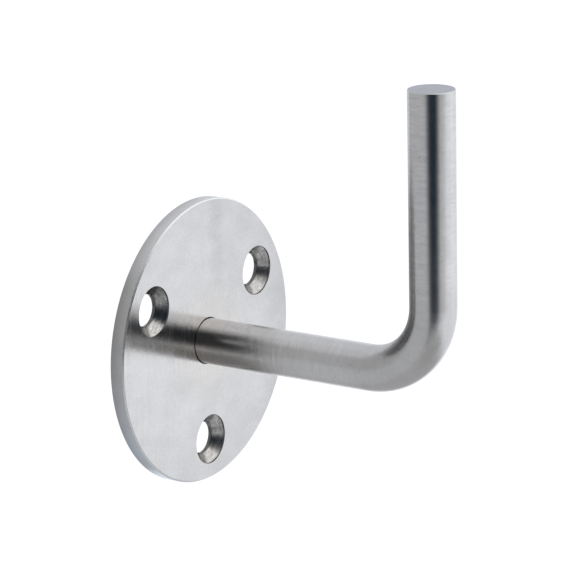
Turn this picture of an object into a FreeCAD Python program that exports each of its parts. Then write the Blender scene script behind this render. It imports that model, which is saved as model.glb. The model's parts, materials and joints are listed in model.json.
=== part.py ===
import FreeCAD, Part
import math
import os

# Handrail bracket in stainless steel. A round plate is screwed to the wall. A solid round bar sits
# in the plate's centre, is welded to it from behind, leaves the wall at a right angle, turns
# upwards and carries the rail on its square cut end.
#
# Millimetres. The wall is the plane Y = 0, the bar leaves it along -Y, and +Z is up. The origin is
# the centre of the plate's back face. Depths are counted from the wall towards the room.

# Base plate
plate_diameter = 75.0
plate_thickness = 4.0
plate_front_edge = 0.35  # 45 degree break round the front rim
plate_back_edge = 0.15

# Screw holes: a straight mouth, a conical seat for the screw head, then the bore
hole_count = 3
hole_circle_diameter = 54.0
first_hole_angle = -90.0  # degrees from +X: one hole is straight below the bar
bore_diameter = 8.4
bore_back_edge = 0.4
seat_diameter = 13.2
seat_mouth_depth = 0.4
seat_angle = 90.0  # from side to side of the cone

# Support bar
bar_diameter = 12.0
bar_reach = 72.5  # from the wall to the upright's axis
bar_rise = 73.5  # from the plate's centre to the cut end
bend_radius = 18.5  # on the bar's axis
bar_end_edge = 0.2

# Socket of the bar in the plate, and the weld behind it
socket_clearance = 0.1  # all round the bar
socket_front_edge = 0.15
weld_depth = 1.5
weld_face_width = 1.5  # of the groove's sloping wall, seen from behind

# Cutting tools run past the faces they cut by this much
overrun = 1.0

wall_axis = FreeCAD.Vector(0, 1, 0)
upright_axis = FreeCAD.Vector(0, 0, 1)
cut_end = FreeCAD.Vector(0, -bar_reach, bar_rise)
bar_radius = bar_diameter / 2
socket_radius = bar_radius + socket_clearance
weld_radius = socket_radius + weld_face_width


def turned(outline):
    """Solid of revolution about the plate's axis. The outline lists (radius, depth) corners."""
    corners = [FreeCAD.Vector(radius, -depth, 0) for radius, depth in outline]
    section = Part.Face(Part.makePolygon(corners + corners[:1]))
    return section.revolve(FreeCAD.Vector(), wall_axis, 360)


def screw_hole_cutter():
    """The shape of one screw hole, standing on the plate's axis."""
    bore_radius = bore_diameter / 2
    seat_radius = seat_diameter / 2
    seat_depth = (seat_radius - bore_radius) / math.tan(math.radians(seat_angle / 2))
    mouth_floor = plate_thickness - seat_mouth_depth
    return turned([
        (0, -overrun),
        (bore_radius + bore_back_edge + overrun, -overrun),
        (bore_radius, bore_back_edge),
        (bore_radius, mouth_floor - seat_depth),
        (seat_radius, mouth_floor),
        (seat_radius, plate_thickness + overrun),
        (0, plate_thickness + overrun),
    ])


def base_plate():
    """Round plate with its central socket, the weld groove behind it and the screw holes."""
    rim_radius = plate_diameter / 2
    plate = turned([
        (weld_radius, 0),
        (rim_radius - plate_back_edge, 0),
        (rim_radius, plate_back_edge),
        (rim_radius, plate_thickness - plate_front_edge),
        (rim_radius - plate_front_edge, plate_thickness),
        (socket_radius + socket_front_edge, plate_thickness),
        (socket_radius, plate_thickness - socket_front_edge),
        (socket_radius, weld_depth),
    ])
    cutter = screw_hole_cutter()
    cutter.translate(FreeCAD.Vector(hole_circle_diameter / 2, 0, 0))
    for step in range(hole_count):
        # Turning about -Y counts the angle from +X towards +Z
        angle = first_hole_angle + step * 360 / hole_count
        hole = cutter.copy()
        hole.rotate(FreeCAD.Vector(), -wall_axis, angle)
        plate = plate.cut(hole)
    return plate


def bar_path():
    """Axis of the bar: straight out of the wall, a quarter turn, straight up to the cut end."""
    bend_start = FreeCAD.Vector(0, bend_radius - bar_reach, 0)
    bend_end = FreeCAD.Vector(0, -bar_reach, bend_radius)
    bend_centre = bend_start + upright_axis * bend_radius
    outwards = FreeCAD.Vector(0, -1, -1).normalize()
    return Part.Wire([
        Part.makeLine(FreeCAD.Vector(), bend_start),
        Part.Arc(bend_start, bend_centre + outwards * bend_radius, bend_end).toShape(),
        Part.makeLine(bend_end, cut_end),
    ])


def support_bar():
    """Solid round bar bent once, with the sharp corner of its cut end broken."""
    section = Part.Wire(Part.makeCircle(bar_radius, FreeCAD.Vector(), -wall_axis))
    bar = bar_path().makePipeShell([section], True, True)
    rim = [edge for edge in bar.Edges if edge.isClosed() and edge.CenterOfMass.isEqual(cut_end, 1e-6)]
    return bar.makeChamfer(bar_end_edge, rim)


def rear_weld():
    """Weld that fills the groove round the bar, ground flush with the plate's back."""
    return turned([
        (bar_radius, 0),
        (weld_radius, 0),
        (socket_radius, weld_depth),
        (bar_radius, weld_depth),
    ])


os.makedirs("parts", exist_ok=True)
for build_piece in (base_plate, support_bar, rear_weld):
    piece = build_piece()
    piece.exportStep(f"parts/{build_piece.__name__}.step")
    box = piece.optimalBoundingBox()
    print(f"{build_piece.__name__}: {piece.Volume / 1000:.2f} cm3,",
          f"{box.XLength:.1f} x {box.YLength:.1f} x {box.ZLength:.1f} mm, valid {piece.isValid()}")
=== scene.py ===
# %% [markdown]
# # A stainless steel handrail bracket
#
# The bracket is a round plate that three screws hold to a wall, and a solid round bar that leaves the
# plate's centre, turns upwards and carries the handrail on its cut end. Both are satin stainless
# steel, which has hardly any colour of its own: what the eye reads is the room that the steel mirrors
# and the fine marks that the grinding left in it. So this lesson builds three things in that order:
# the view, the room round the bracket, and a finish for each surface.
#
# The shapes are exact already. They come from the frame, which also says where nearly everything is,
# so few sizes are typed here.

# %% Load the frame
import json
import math
from types import SimpleNamespace

import bpy
from mathutils import Matrix, Vector


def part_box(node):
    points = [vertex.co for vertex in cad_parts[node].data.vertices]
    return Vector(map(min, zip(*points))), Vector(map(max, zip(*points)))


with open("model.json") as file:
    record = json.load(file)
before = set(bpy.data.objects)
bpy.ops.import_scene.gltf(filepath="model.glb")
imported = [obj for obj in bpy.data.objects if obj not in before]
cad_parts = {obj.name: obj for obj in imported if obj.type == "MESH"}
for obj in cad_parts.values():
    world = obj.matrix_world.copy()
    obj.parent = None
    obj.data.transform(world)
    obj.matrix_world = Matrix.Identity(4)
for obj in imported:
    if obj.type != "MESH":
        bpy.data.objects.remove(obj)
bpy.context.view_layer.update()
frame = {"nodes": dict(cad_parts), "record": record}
bpy.ops.object.select_all(action="DESELECT")

MM = 0.001
scene = bpy.context.scene
print("nodes:", sorted(frame["nodes"]))

# %% [markdown]
# ## Sizes that the finishes follow
#
# A finish that runs round a bar or sits in a screw hole has to know where they are. The frame's
# fastening points give the circle of holes and the bar, and the plate's box gives its radius and its
# front. Two sizes are typed, because no fastening point measures them: the radius of a screw hole's
# mouth and the radius of the bend on the bar's axis.

# %% Read the sizes, in millimetres
mounts = {mount["name"]: mount for mount in frame["record"]["mounts"]}
screw_holes = mounts["wall_holes"]["dims"]
rail_end = [side / MM for side in mounts["rail_end"]["pos_m"]]
plate_low, plate_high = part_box("base_plate")

plate_radius = plate_high.x / MM
plate_front = plate_low.y / MM
hole_count = screw_holes["count"]
hole_circle_radius = screw_holes["pcd_mm"] / 2
seat_radius = 6.6

bar_radius = mounts["rail_pin"]["dims"]["r_mm"]
bar_reach = -rail_end[1]
bar_top = rail_end[2]
bend_radius = 18.5

print("plate radius", round(plate_radius, 2), "mm, front at", round(plate_front, 2), "mm")
print("bar reach", round(bar_reach, 2), "mm, cut end at", round(bar_top, 2), "mm")

# %% [markdown]
# ## The view
#
# Small hardware looks best from a little way off through a long lens, which keeps the plate a true
# ellipse and the bar's sides nearly parallel. The camera is placed by two angles and a distance from
# the point it looks at. A tiny roll is what a hand-set tripod leaves.

# %% Place the camera
view_azimuth = math.radians(-56.36)
view_elevation = math.radians(15.19)
view_roll = math.radians(-1.24)
view_distance = 804.2 * MM
view_centre = Vector((-1.18, -28.84, 18.95)) * MM
lens_length = 200.3


def direction(azimuth, elevation):
    """Unit vector from the bracket. Azimuth 0 is straight out of the wall and 90 is to its right."""
    level = math.cos(elevation)
    return Vector((math.sin(azimuth) * level, -math.cos(azimuth) * level, math.sin(elevation)))


backwards = direction(view_azimuth, view_elevation)
level_right = Vector((math.cos(view_azimuth), math.sin(view_azimuth), 0))
rightwards = Matrix.Rotation(view_roll, 3, backwards) @ level_right
upwards = backwards.cross(rightwards)

camera_data = bpy.data.cameras.new("camera")
camera_data.lens = lens_length
camera_data.clip_start = 0.05
camera_data.clip_end = 50
camera = bpy.data.objects.new("camera", camera_data)
scene.collection.objects.link(camera)
turn = Matrix((rightwards, upwards, backwards)).transposed().to_4x4()
camera.matrix_world = Matrix.Translation(view_centre + backwards * view_distance) @ turn
scene.camera = camera
scene.view_settings.view_transform = "Standard"
print("camera at", [round(x, 3) for x in camera.matrix_world.translation], "m")

# %% [markdown]
# ## A small language for materials
#
# Node materials are sums: a mask here, a streak there, added and multiplied. Written as node calls,
# the sums get lost. Here one class wraps an output of a node and answers to +, -, * and /, so that
# `1 - mask` is a line of Python and still becomes a Math node. Any other node comes from `add`.

# %% Values and node trees


class Value:
    """An output of a node. Arithmetic with it adds Math nodes."""

    def __init__(self, tree, socket):
        self.tree = tree
        self.socket = socket

    def __getitem__(self, output):
        """Another output of the same node."""
        return Value(self.tree, self.socket.node.outputs[output])

    def maths(self, operation, *others):
        return self.tree.add("ShaderNodeMath", [self, *others], operation=operation)

    def __add__(self, other):
        return self.maths("ADD", other)

    def __sub__(self, other):
        return self.maths("SUBTRACT", other)

    def __mul__(self, other):
        return self.maths("MULTIPLY", other)

    def __truediv__(self, other):
        return self.maths("DIVIDE", other)

    def __rsub__(self, other):
        return self.tree.add("ShaderNodeMath", [other, self], operation="SUBTRACT")

    def __rtruediv__(self, other):
        return self.tree.add("ShaderNodeMath", [other, self], operation="DIVIDE")

    __radd__ = __add__
    __rmul__ = __mul__

    def clamped(self, low=0.0, high=1.0):
        return self.tree.add("ShaderNodeClamp", [self, low, high])

    def rise(self, start, end, low=0.0, high=1.0):
        """Climbs smoothly from low to high while this value goes from start to end."""
        stops = [self, start, end, low, high]
        return self.tree.add("ShaderNodeMapRange", stops, interpolation_type="SMOOTHSTEP")


class Tree:
    """A node tree, and the one method that adds nodes to it."""

    def __init__(self, node_tree):
        self.nodes = node_tree.nodes
        self.links = node_tree.links

    def add(self, kind, inputs=(), output=0, **settings):
        """Adds a node. Inputs go by place in a list, or by name in a dict."""
        node = self.nodes.new(kind)
        for name, setting in settings.items():
            setattr(node, name, setting)
        named = inputs.items() if isinstance(inputs, dict) else enumerate(inputs)
        for key, given in named:
            self.feed(node.inputs[key], given)
        return Value(self, node.outputs[output])

    def feed(self, socket, given):
        """Puts a number, a colour or another node's output into a socket."""
        if isinstance(given, Value):
            self.links.new(given.socket, socket)
        else:
            socket.default_value = given

    def vector(self, x, y, z):
        return self.add("ShaderNodeCombineXYZ", [x, y, z])

    def noise(self, place, scale, detail=2.0, roughness=0.5):
        """Soft random numbers between 0 and 1, about 0.5 on average."""
        inputs = {"Vector": place, "Scale": scale, "Detail": detail, "Roughness": roughness}
        return self.add("ShaderNodeTexNoise", inputs)

    def blend(self, share, first, second):
        """A colour between two colours, or a height between two heights."""
        return self.add("ShaderNodeMix", {0: share, 6: first, 7: second}, output=2, data_type="RGBA")

    def tinted(self, colour, shade):
        """A colour made lighter or darker by a number round 1."""
        return self.add("ShaderNodeVectorMath", {0: colour, "Scale": shade}, operation="SCALE")


def length(*sides):
    """Pythagoras on values."""
    total = sides[0] * sides[0]
    for side in sides[1:]:
        total = total + side * side
    return total.maths("SQRT")


# %% [markdown]
# ## The room
#
# The floor and the far walls of a product studio are white and stay white. The floor is a plain pale
# sheet well below the bracket, as if the bracket hung on a thread. The world is white wherever
# something looks at it, so that the steel mirrors the same white that the eye sees. As a source of
# light both are dimmer, or the floor would lose the bracket's shadow.

# %% White world and pale floor
floor_drop = 560 * MM
floor_half_width = 8.0
world_light = 0.75
floor_glow = 0.45


def when_looked_at(tree):
    """1 for what is seen directly, in a mirror or through glass, and 0 for what only gives light."""
    ray = tree.add("ShaderNodeLightPath", output="Is Camera Ray")
    return (ray + ray["Is Glossy Ray"] + ray["Is Transmission Ray"]).clamped()


def studio_white(tree):
    """White to the eye, and a little cooler in the steel, as daylight from a window is."""
    ray = tree.add("ShaderNodeLightPath", output="Is Camera Ray")
    return tree.blend(ray, (0.962, 0.988, 1.035, 1), (1, 1, 1, 1))


world = bpy.data.worlds.new("studio")
world.use_nodes = True
scene.world = world
background = world.node_tree.nodes["Background"]
sky = Tree(world.node_tree)
sky.feed(background.inputs["Color"], studio_white(sky))
sky.feed(background.inputs["Strength"], when_looked_at(sky) * (1 - world_light) + world_light)

floor_height = plate_low.z - floor_drop
bpy.ops.mesh.primitive_plane_add(size=2 * floor_half_width, location=(0, 0, floor_height))
floor = bpy.context.object
floor.name = "floor"
pale = bpy.data.materials.new("pale floor")
pale.use_nodes = True
floor.data.materials.append(pale)
paint = Tree(pale.node_tree)
shader = pale.node_tree.nodes["Principled BSDF"]
shader.inputs["Base Color"].default_value = (0.8, 0.8, 0.8, 1)
shader.inputs["Roughness"].default_value = 0.9
shader.inputs["Specular IOR Level"].default_value = 0.0
paint.feed(shader.inputs["Emission Color"], studio_white(paint))
paint.feed(shader.inputs["Emission Strength"], when_looked_at(paint) * floor_glow)
print("floor", round(floor_drop / MM), "mm below the plate")

# %% [markdown]
# ## The lamps
#
# One big soft lamp stands to the right in front of the bracket. It adds a little to the white wall
# behind it, which is all that steel needs for a bright side, and it gives the floor its shadow. A
# narrow lamp low down beside it draws a soft light line along the right of the bar. A rectangle of
# light has a brightness of its watts over pi times its area, so the watts are worked out from how
# bright the lamp should look.

# %% Soft lamps


def soft_lamp(name, azimuth, elevation, distance, width, height, brightness):
    """A rectangular lamp that faces the bracket. Angles are in degrees and lengths in metres, and
    brightness 1 is as bright as the white wall."""
    data = bpy.data.lights.new(name, "AREA")
    data.shape = "RECTANGLE"
    data.size = width
    data.size_y = height
    data.energy = brightness * math.pi * width * height
    lamp = bpy.data.objects.new(name, data)
    towards = direction(math.radians(azimuth), math.radians(elevation))
    lamp.location = view_centre + towards * distance
    lamp.rotation_euler = towards.to_track_quat("Z", "Y").to_euler()
    lamp.visible_camera = False
    scene.collection.objects.link(lamp)
    print(name, round(data.energy, 2), "W")


soft_lamp("front lamp", 46, 34, 1.7, width=1.8, height=3.2, brightness=0.17)
soft_lamp("strip lamp", 50, -10, 1.5, width=0.28, height=1.0, brightness=0.14)

# %% [markdown]
# ## Boards for the steel to mirror
#
# In an all white room satin steel looks like white plastic. So cloths and cards hang where the steel
# should show a dark or grey band: a black cloth just behind the camera, a wider grey cloth beyond it,
# and grey cards at the left, behind, above and below. They are flat, glow with their own shade, thin
# out towards their edges so that no hard line shows, and are hidden from everything but reflections.
#
# The upright's dark stripe comes from a second black cloth, which hangs a hand's width from the
# upright's foot on the camera's side. It is so near that only the bar can mirror it, so the plate
# stays light when it is seen from the other side.

# %% Cloths and cards


def edge_fade(place, fade):
    """1 in the middle of a board and 0 at its edge. It falls over the last share, fade, of the way."""
    return place.rise(1 - fade, 1, 1, 0)


def board(name, azimuth, elevation, distance, half_width, half_height, colour, fade,
          oval=False, centre=view_centre):
    """A card that faces a point, the middle of the view unless it is given another. Its half sizes
    are angles in degrees, as they look from that point."""
    towards = direction(math.radians(azimuth), math.radians(elevation))
    reach = [distance * math.tan(math.radians(half)) for half in (half_width, half_height)]
    bpy.ops.mesh.primitive_plane_add(size=2)
    panel = bpy.context.object
    panel.name = name
    panel.scale = (*reach, 1)
    panel.rotation_euler = towards.to_track_quat("Z", "Y").to_euler()
    panel.location = centre + towards * distance
    panel.visible_camera = False
    panel.visible_diffuse = False
    panel.visible_shadow = False

    material = bpy.data.materials.new(name)
    material.use_nodes = True
    panel.data.materials.append(material)
    tree = Tree(material.node_tree)
    place = tree.add("ShaderNodeTexCoord", output="Object")
    across = tree.add("ShaderNodeSeparateXYZ", [place])
    up = across["Y"]
    if oval:
        cover = edge_fade(length(across, up), fade)
    else:
        cover = edge_fade(across.maths("ABSOLUTE"), fade) * edge_fade(up.maths("ABSOLUTE"), fade)
    clear = tree.add("ShaderNodeBsdfTransparent")
    glow = tree.add("ShaderNodeEmission", {"Color": (*colour, 1)})
    either = tree.add("ShaderNodeMixShader", [cover, clear, glow])
    tree.feed(tree.nodes["Material Output"].inputs["Surface"], either)
    print(name, "is", [round(2 * side, 2) for side in reach], "m")


# Each has its azimuth, elevation and distance, its half width and height, its colour and its fade
upright_foot = Vector((0, -bar_reach, 20)) * MM
board("near cloth", -55, 13, 0.08, 34, 58, (0.006, 0.016, 0.030), 0.76, centre=upright_foot)
board("black cloth", -57, 20, 0.9, 45, 46, (0.012, 0.014, 0.016), 0.64, oval=True)
board("grey cloth", -53, 14, 1.0, 74, 56, (0.50, 0.50, 0.51), 0.74, oval=True)
board("left card", -140, 4, 1.25, 60, 53, (0.52, 0.525, 0.54), 0.45)
board("back card", 147, 10, 1.3, 26, 52, (0.78, 0.80, 0.84), 0.25)
board("front floor card", -26, -50, 0.4, 34, 22, (0.47, 0.47, 0.475), 0.8, oval=True)
board("left floor card", -130, -60, 0.55, 58, 60, (0.60, 0.612, 0.64), 0.2)
board("floor card", -60, -83, 0.5, 52, 58, (0.54, 0.54, 0.56), 0.5)
board("ceiling card", 220, 72, 1.1, 34, 32, (0.72, 0.72, 0.75), 0.6)

# %% [markdown]
# ## Rules that all the finishes share
#
# Every finish reads its place on the bracket in millimetres, because that is how a maker thinks of
# a scratch. Three things vary over satin steel. Its base colour changes by a few parts in a hundred,
# its roughness drifts in soft clouds, and its surface is combed by fine parallel grooves. The
# grooves are what stretch every reflection across their own direction, so they are a bump.

# %% Millimetres, and the start of a steel
MICROMETRE = 0.001 * MM


def millimetres(tree):
    """Place on the bracket along X, Y and Z, in millimetres."""
    place = tree.add("ShaderNodeTexCoord", output="Object")
    scaled = tree.add("ShaderNodeVectorMath", {0: place, "Scale": 1 / MM}, operation="SCALE")
    x = tree.add("ShaderNodeSeparateXYZ", [scaled])
    return x, x["Y"], x["Z"]


def steel(name):
    """A bare metal, its node tree and the inputs of its shader."""
    material = bpy.data.materials.new(name)
    material.use_nodes = True
    shader = material.node_tree.nodes["Principled BSDF"]
    shader.inputs["Metallic"].default_value = 1.0
    return material, Tree(material.node_tree), shader.inputs


def groove(tree, inputs, height, step):
    """Cuts grooves: the height counts steps, and a step is given in micrometres."""
    bump = {"Height": height, "Distance": step * MICROMETRE, "Strength": 1.0}
    tree.feed(inputs["Normal"], tree.add("ShaderNodeBump", bump))


def dress(node, material):
    """Gives a part its finish."""
    frame["nodes"][node].data.materials[0] = material
    print(node, "wears", material.name + ",", len(material.node_tree.nodes), "nodes")


# %% [markdown]
# ## Places on the bar
#
# The bar is drawn round stock. After bending, a narrow abrasive belt is run round it, which leaves
# fine rings all the way along, through the bend as well. A ring is a line of constant distance along
# the bar, so that distance is worked out first: along the straight part, then by the angle round the
# bend, then up the upright. The other useful number is the distance from the bend's own axis, which
# tells the inside of the bend from its outside.

# %% Distance along the bar
bend_start = bar_reach - bend_radius
bend_end = bend_start + bend_radius * math.pi / 2
bar_length = bend_end + bar_top - bend_radius


def bar_place(tree):
    """A spot on the bar: millimetres from the wall along it, and outwards from the bend's axis."""
    at = SimpleNamespace()
    at.x, at.y, at.z = millimetres(tree)
    past_start = -bend_start - at.y
    below_axis = bend_radius - at.z
    angle = past_start.maths("ARCTAN2", below_axis).clamped(0, math.pi / 2)
    straight = (0 - at.y).maths("MINIMUM", bend_start)
    upright = (at.z - bend_radius).maths("MAXIMUM", 0.0)
    at.along = straight + angle * bend_radius + upright
    at.outwards = length(past_start.maths("MAXIMUM", 0.0), below_axis.maths("MAXIMUM", 0.0))
    return at


print("bend from", round(bend_start, 1), "to", round(bend_end, 1), "mm along the bar")
print("bar", round(bar_length, 1), "mm long")

# %% [markdown]
# ## What the belt left, and the bar's painted shade
#
# Noise that changes quickly along the bar and slowly round it makes rings. The rings are faint in the
# bend. The inside of the bend carries painted shade, and the rest of the bend is painted a little
# darker. Near the wall the weld's heat has warmed the colour, and the underside there carries painted
# shade.

# %% Colour of the bar
belt_metal = (0.605, 0.600, 0.592, 1)
warmed_metal = (0.680, 0.660, 0.636, 1)
warmed_length = 40


def belt_rings(tree, at, scale, slip, detail, roughness):
    """Noise combed round the bar. Slip is how quickly it changes round compared with along."""
    place = tree.vector(at.along, at.x * slip, at.outwards * slip)
    return tree.noise(place, scale, detail, roughness)


def belt_ground(tree, at):
    """Colour of the bar's side, its soft clouds, and a mask for the bend."""
    marks = belt_rings(tree, at, 3.5, 0.07, 4.0, 0.7)
    grain = belt_rings(tree, at, 1.3, 0.2, 4.0, 0.65)
    clouds = tree.noise(tree.vector(at.along * 0.8, at.x, at.outwards), 0.22, 3.0, 0.55)
    specks = belt_rings(tree, at, 1.1, 1, 2.0, 0.5).rise(0.70, 0.76)

    # Painted shade: the bend is painted a little darker, and its rings fade
    bent = at.along.rise(bend_start - 10, bend_start + 4)
    bent = bent * at.along.rise(bend_end - 5, bend_end + 13, 1, 0)
    # Painted shade on the inside of the bend
    inwards = (bend_radius - at.outwards) / bar_radius
    painted_bend_shade = inwards.rise(0.15, 0.75) * at.along.rise(bend_start + 6, bend_start + 22)
    painted_bend_shade = painted_bend_shade * at.along.rise(bend_end + 15, bend_end + 45, 1, 0)
    warmed = at.along.rise(8, warmed_length, 1, 0)
    # Painted shade: the underside of the bar near the wall is darkened
    painted_underside_shade = warmed * at.z.rise(-3, 2.5, 0.38, 0)

    combed = ((marks - 0.5) * 0.32 + (grain - 0.5) * 0.36) * (1 - bent * 0.6)
    combed = combed * at.along.rise(bend_start - 4, bend_end + 7, 0.85, 1)
    cloudy = (clouds - 0.5) * at.along.rise(25, bend_start + 6, 0.12, 0.18)
    shade = combed + cloudy - painted_bend_shade * 0.68 - bent * 0.08 + 1
    shade = shade * (1 - specks * 0.25) * (1 - painted_underside_shade)
    metal = tree.blend(warmed, belt_metal, warmed_metal)
    return tree.tinted(metal, shade), clouds, bent


print("heat has warmed the first", warmed_length, "mm of the bar")

# %% [markdown]
# ## The bar's two ends
#
# The free end is sawn square and left duller than the sides. It faces the sky, and its blue tint is a
# painted reflection of that sky. The other end lies in the plate's back, where a coarse disc ground
# the weld flush, and one set of scratches runs over bar, weld and plate. That is why they come from
# one function.

# %% Bar finish
# The sawn end's colour; its blue tint is a painted reflection of the sky
sawn_metal_and_sky = (0.418, 0.424, 0.458)
disc_metal = (0.50, 0.49, 0.475)

# How deep a flat surface's own finish reaches
skin = 0.03


def ground_flush(tree, x, z):
    """Coarse scratches of the disc that ground the weld flush, and the colour of that spot."""
    scratches = tree.noise(tree.vector(x + z, 0, (z - x) * 0.03), 5.0, 3.0, 0.6)
    return scratches, tree.tinted(disc_metal, (scratches - 0.5) * 0.5 + 1)


def bar_finish():
    """Side, sawn end and foot of the bar."""
    material, tree, inputs = steel("belt-ground bar")
    at = bar_place(tree)
    side, clouds, bent = belt_ground(tree, at)
    sawn = at.z.rise(bar_top - skin - 0.01, bar_top - 0.01)
    foot = at.y.rise(-skin, -0.01)

    end = tree.tinted(sawn_metal_and_sky, (clouds - 0.5) * 0.25 + 1)
    scratches, ground = ground_flush(tree, at.x, at.z)
    tree.feed(inputs["Base Color"], tree.blend(foot, tree.blend(sawn, side, end), ground))
    tree.feed(inputs["Roughness"], (clouds - 0.5) * 0.04 + 0.21 + sawn * 0.22 + foot * 0.13)

    rings = belt_rings(tree, at, 18.0, 0.01, 1.0, 0.5)
    scores = belt_rings(tree, at, 3.0, 0.15, 2.0, 0.5)
    belt = (rings * 13 + scores * 9) * (1 - bent * 0.5)
    groove(tree, inputs, belt * (1 - foot) + scratches * foot * 10, 1)
    return material


dress("support_bar", bar_finish())

# %% [markdown]
# ## Places on the plate
#
# One material covers the whole plate, so it first asks where it is. Depth below the front face tells
# the face, the walls of the screw holes and the back apart, and the distance from the centre finds
# the rim. The three holes look alike. So a spot is measured from the axis of the hole whose third of
# the plate it lies in.

# %% Face, rim, holes and back
hole_step = 2 * math.pi / hole_count
first_hole = -math.pi / 2
rim_width = 0.5


def plate_place(tree):
    """A spot on the plate: millimetres, and masks for the surface that it lies on."""
    at = SimpleNamespace()
    at.x, at.y, at.z = millimetres(tree)
    at.radius = length(at.x, at.z)
    at.around = at.z.maths("ARCTAN2", at.x)
    at.depth = at.y - plate_front

    # A full turn is added first, because below 0 the remainder would come out negative
    turned = at.around + (2 * math.pi - first_hole + hole_step / 2)
    past_axis = turned.maths("MODULO", hole_step) - hole_step / 2
    axis_angle = at.around - past_axis
    at.right = at.x - axis_angle.maths("COSINE") * hole_circle_radius
    at.up = at.z - axis_angle.maths("SINE") * hole_circle_radius

    at.front = at.depth.rise(0.01, skin, 1, 0)
    at.back = at.y.rise(-skin, -0.01)
    at.rim = at.radius.rise(plate_radius - rim_width, plate_radius - rim_width + 0.1)
    at.clouds = tree.noise(tree.vector(at.x * 0.6, at.y, at.z), 0.2, 4.0, 0.6)
    return at


print("a hole every", round(math.degrees(hole_step)), "degrees,", hole_circle_radius, "mm out")

# %% [markdown]
# ## The brushed face
#
# The face is brushed up and down on a wide belt. Very fine grooves blur every reflection sideways, and
# coarser hairs and long scores show as lines. Handling leaves clouds and patches, and one uneven
# stroke of the belt a faint streak above the bar. The face is painted darker towards its right edge
# and its bottom, as painted shade. Round the bar the finish fans out, because it was blended by hand,
# and its colour is warmed there as a painted warm reflection.

# %% Colour and grooves of the face
brushed_metal = (0.584, 0.577, 0.570, 1)
warm_reflection_metal = (0.597, 0.580, 0.558, 1)
fan_width = 13
streak_place = 5


def brushed_face(tree, at):
    """Colour of the face, the height of its grooves, and a mask for its long scores."""
    brushing = tree.noise(tree.vector(at.x, at.y * 0.02, at.z * 0.02), 18.0, 1.0)
    hairs = tree.noise(tree.vector(at.x, at.y * 0.1, at.z * 0.15), 3.0, 3.0, 0.6)
    scores = tree.noise(tree.vector(at.x, at.y * 0.1, at.z * 0.05), 1.1, 2.0, 0.6).rise(0.42, 0.72)
    patches = tree.noise(tree.vector(at.x * 0.6 + 50, at.y, at.z), 0.09, 2.0)
    grain = tree.noise(tree.vector(at.x * 0.6, at.y, at.z), 2.0, 3.0, 0.6)
    fan = tree.noise(tree.vector(at.around * 5, at.radius * 0.06, at.y), 2.0, 3.0)

    wobble = (tree.noise(tree.vector(at.z, 0, 0), 0.2, 2.0) - 0.5) * 5
    streak = (at.x - streak_place + wobble).maths("ABSOLUTE").rise(0.5, 4.5, 1, 0)
    streak = streak * at.z.rise(bar_radius + 2, bar_radius + 10)
    near_bar = at.radius.rise(bar_radius + 2, bar_radius + fan_width, 1, 0)

    soft = (at.clouds - 0.5) * 0.26 + (patches - 0.5) * 0.14
    fine = (hairs - 0.5) * 0.14 + (grain - 0.5) * 0.24 + (fan - 0.5) * near_bar * 0.12
    # Painted shade towards the right edge and the bottom, plus the belt's faint streak
    painted_shade_and_streak = at.x.rise(22, 38) * 0.12 + at.z.rise(-38, -5, 0.07, 0) + streak * 0.08
    # Painted warm reflection: the colour is warmed round the bar
    metal = tree.blend(near_bar, brushed_metal, warm_reflection_metal)
    height = (brushing - 0.5) * 0.9 + (hairs - 0.5) * 0.3
    return tree.tinted(metal, soft + fine - painted_shade_and_streak + 1), height, scores


print("the finish fans out over", fan_width, "mm round the bar")

# %% [markdown]
# ## The turned surfaces
#
# The rim is turned on a lathe and its edge broken, and that edge is painted bright as a highlight
# line. The rim behind it is dull and darker towards the wall, painted lighter towards its top and
# bottom, and painted bluer low down as a painted reflection. The screw holes are cut with a
# countersink. It chatters, which leaves rings round each seat, and its chips smear, which leaves
# stains, fewer of them low down. The low part of each wall is painted lighter and warmer as painted
# light. A wall carries painted shade in a thin ring at its mouth, just above its middle, at its left
# and deep in the throat, and the top of the left hole's seat carries heavy painted shade.

# %% Rim and screw holes
rim_metal = (0.478, 0.474, 0.467, 1)
blue_reflection_rim_metal = (0.470, 0.515, 0.566, 1)
edge_highlight_metal = (0.83, 0.83, 0.825)
lit_low_seat_metal = (0.68, 0.65, 0.61, 1)
seat_metal = (0.635, 0.63, 0.62, 1)


def turned_rim(tree, at):
    """Colour of the rim, and a mask for its broken edge, which is painted bright as a highlight."""
    edge = at.rim * at.depth.rise(0.3, 0.4, 1, 0)
    # Painted reflection: the rim is painted bluer low down, and lighter towards its top and bottom
    cool = at.z.rise(-34, 4, 1, 0)
    metal = tree.blend(cool, rim_metal, blue_reflection_rim_metal)
    shade = (at.clouds - 0.5) * 0.2 + at.z.maths("ABSOLUTE") * 0.010 + 0.94
    dull = tree.tinted(metal, shade * at.depth.rise(0.5, 4, 1.03, 0.8))
    # Painted highlight: the broken edge is painted much lighter
    painted_edge_highlight = tree.tinted(edge_highlight_metal, (at.clouds - 0.5) * 0.2 + 1)
    return tree.blend(edge, dull, painted_edge_highlight), edge


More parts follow.
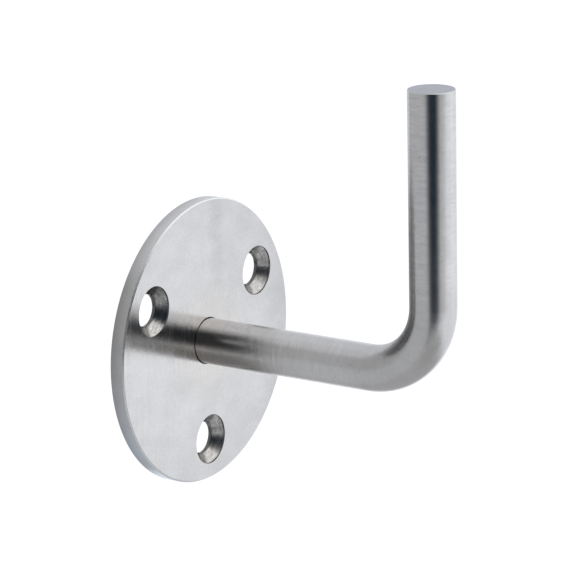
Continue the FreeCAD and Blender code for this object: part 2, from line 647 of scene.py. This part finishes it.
def seat_wall(tree, at):
    """Colour of a screw hole's wall, and a mask for what lies below its mouth."""
    from_axis = length(at.right, at.up)
    chatter = tree.noise(tree.vector(from_axis * 0.9, at.right * 0.12, at.up * 0.12), 2.6, 3.0, 0.6)
    stains = tree.noise(tree.vector(at.x, at.y, at.z), 1.4, 6.0, 0.8).rise(0.35, 0.62)
    # Painted shade: a thin ring at the mouth is darkened, and so is the wall deep in the throat
    below_mouth = at.depth.rise(0.25, 0.6)
    throat = at.depth.rise(2.4, 2.8, 1, 0.3)

    # From -1 at the bottom of a mouth to 1 at its top, and the same from its left to its right
    height = at.up / seat_radius
    across = at.right / seat_radius
    # Painted light: the low part of a wall is painted lighter and warmer, and has fewer stains
    lit_low_and_less_stained = height.rise(-0.4, 0, 1, 0)
    # Painted shade just above the middle of a wall
    painted_middle_shade = height.rise(-0.1, 0.1) * height.rise(0.12, 0.36, 1, 0) * 0.35
    # Painted shade on the top of the left hole's seat
    painted_top_shade = height.rise(0.1, 0.7) * at.x.rise(-22, -14, 0.8, 0)
    # Painted shade towards the left of a wall
    left = across.rise(-0.8, 0.1, 0.15, 1)

    cut = stains * (0.6 - lit_low_and_less_stained * 0.3) + lit_low_and_less_stained * 0.18 + 0.5
    cut = cut * ((chatter - 0.5) * 1.4 + 1)
    shade = cut * (0.95 - painted_middle_shade) * (1 - painted_top_shade) * left * throat * (below_mouth * 0.7 + 0.3)
    metal = tree.blend(height.rise(-0.5, 0.1), lit_low_seat_metal, seat_metal)
    return tree.tinted(metal, shade), below_mouth


print("a screw hole is", 2 * seat_radius, "mm across at its mouth")

# %% [markdown]
# ## The back
#
# Nobody sees the back once the bracket is up, so it keeps the mill's rolling lines. The weld's heat
# has coloured it in rings, blue where it was hottest, then violet, then straw. The disc that ground
# the weld flush has taken the colour off in the middle.

# %% Colour and grooves of the back
mill_metal = (0.52, 0.52, 0.52)
flush_radius = 9

# Each colour, the radii where it starts to fade and where it is gone, and its strength
heat_tints = [
    ((0.50, 0.44, 0.33, 1), 13, 17, 0.7),
    ((0.36, 0.29, 0.31, 1), 11.6, 13.8, 0.6),
    ((0.30, 0.35, 0.44, 1), 10, 12.2, 0.65),
]


def mill_back(tree, at):
    """Colour of the back, and the height of its rolling lines and scratches."""
    rolled = tree.noise(tree.vector(at.x * 0.04, at.y, at.z), 9.0, 2.0)
    scratches, ground = ground_flush(tree, at.x, at.z)
    heat = at.radius + (at.clouds - 0.5) * 2.5
    colour = tree.tinted(mill_metal, (at.clouds - 0.5) * 0.2 + (rolled - 0.5) * 0.12 + 1)
    for tint, fades, gone, strength in heat_tints:
        colour = tree.blend(heat.rise(fades, gone, strength, 0), colour, tint)
    flush = heat.rise(flush_radius, flush_radius + 1, 1, 0)
    return tree.blend(flush, colour, ground), tree.blend(flush, rolled, scratches * 2)


print("ground flush to about", flush_radius, "mm from the axis, then", len(heat_tints), "heat colours")

# %% [markdown]
# ## The plate puts its finishes together
#
# The masks pick one colour, one roughness and one set of grooves for each spot. The height of the
# face's grooves is about 0 on average and so is that of the lathe's, or a false step would show
# where they meet.

# %% Plate finish


def plate_finish():
    """Face, rim, screw holes and back of the plate."""
    material, tree, inputs = steel("brushed plate")
    at = plate_place(tree)
    face, brushing, scores = brushed_face(tree, at)
    rim, edge = turned_rim(tree, at)
    wall, below_mouth = seat_wall(tree, at)
    back, rolling = mill_back(tree, at)

    turned = tree.blend(at.rim, wall, rim)
    tree.feed(inputs["Base Color"], tree.blend(at.back, tree.blend(at.front, turned, face), back))

    in_hole = (1 - at.front) * (1 - at.rim) * (1 - at.back)
    roughness = (at.clouds - 0.5) * 0.08 + 0.2 + at.rim * (1 - at.front) * 0.05
    roughness = roughness + edge * 0.18 + at.back * 0.15 + in_hole * 0.01
    roughness = roughness + at.front * (scores * 0.06 - 0.05)
    tree.feed(inputs["Roughness"], roughness)

    lathe = tree.noise(tree.vector(at.y, at.around * 0.3, 0), 12.0, 2.0)
    turning = (lathe - 0.5) * below_mouth * (1 - at.back)
    groove(tree, inputs, brushing * at.front + turning + rolling * at.back, 6)
    return material


dress("base_plate", plate_finish())

# %% [markdown]
# ## The weld
#
# The weld fills the groove behind the plate and is ground flush with it. All that shows is a ring of
# the disc's scratches between the bar's end and the plate's back.

# %% Weld finish


def weld_finish():
    """The disc's scratches, up to ten micrometres deep."""
    material, tree, inputs = steel("ground weld")
    x, _, z = millimetres(tree)
    scratches, ground = ground_flush(tree, x, z)
    tree.feed(inputs["Base Color"], ground)
    inputs["Roughness"].default_value = 0.34
    groove(tree, inputs, scratches, 10)
    return material


dress("rear_weld", weld_finish())
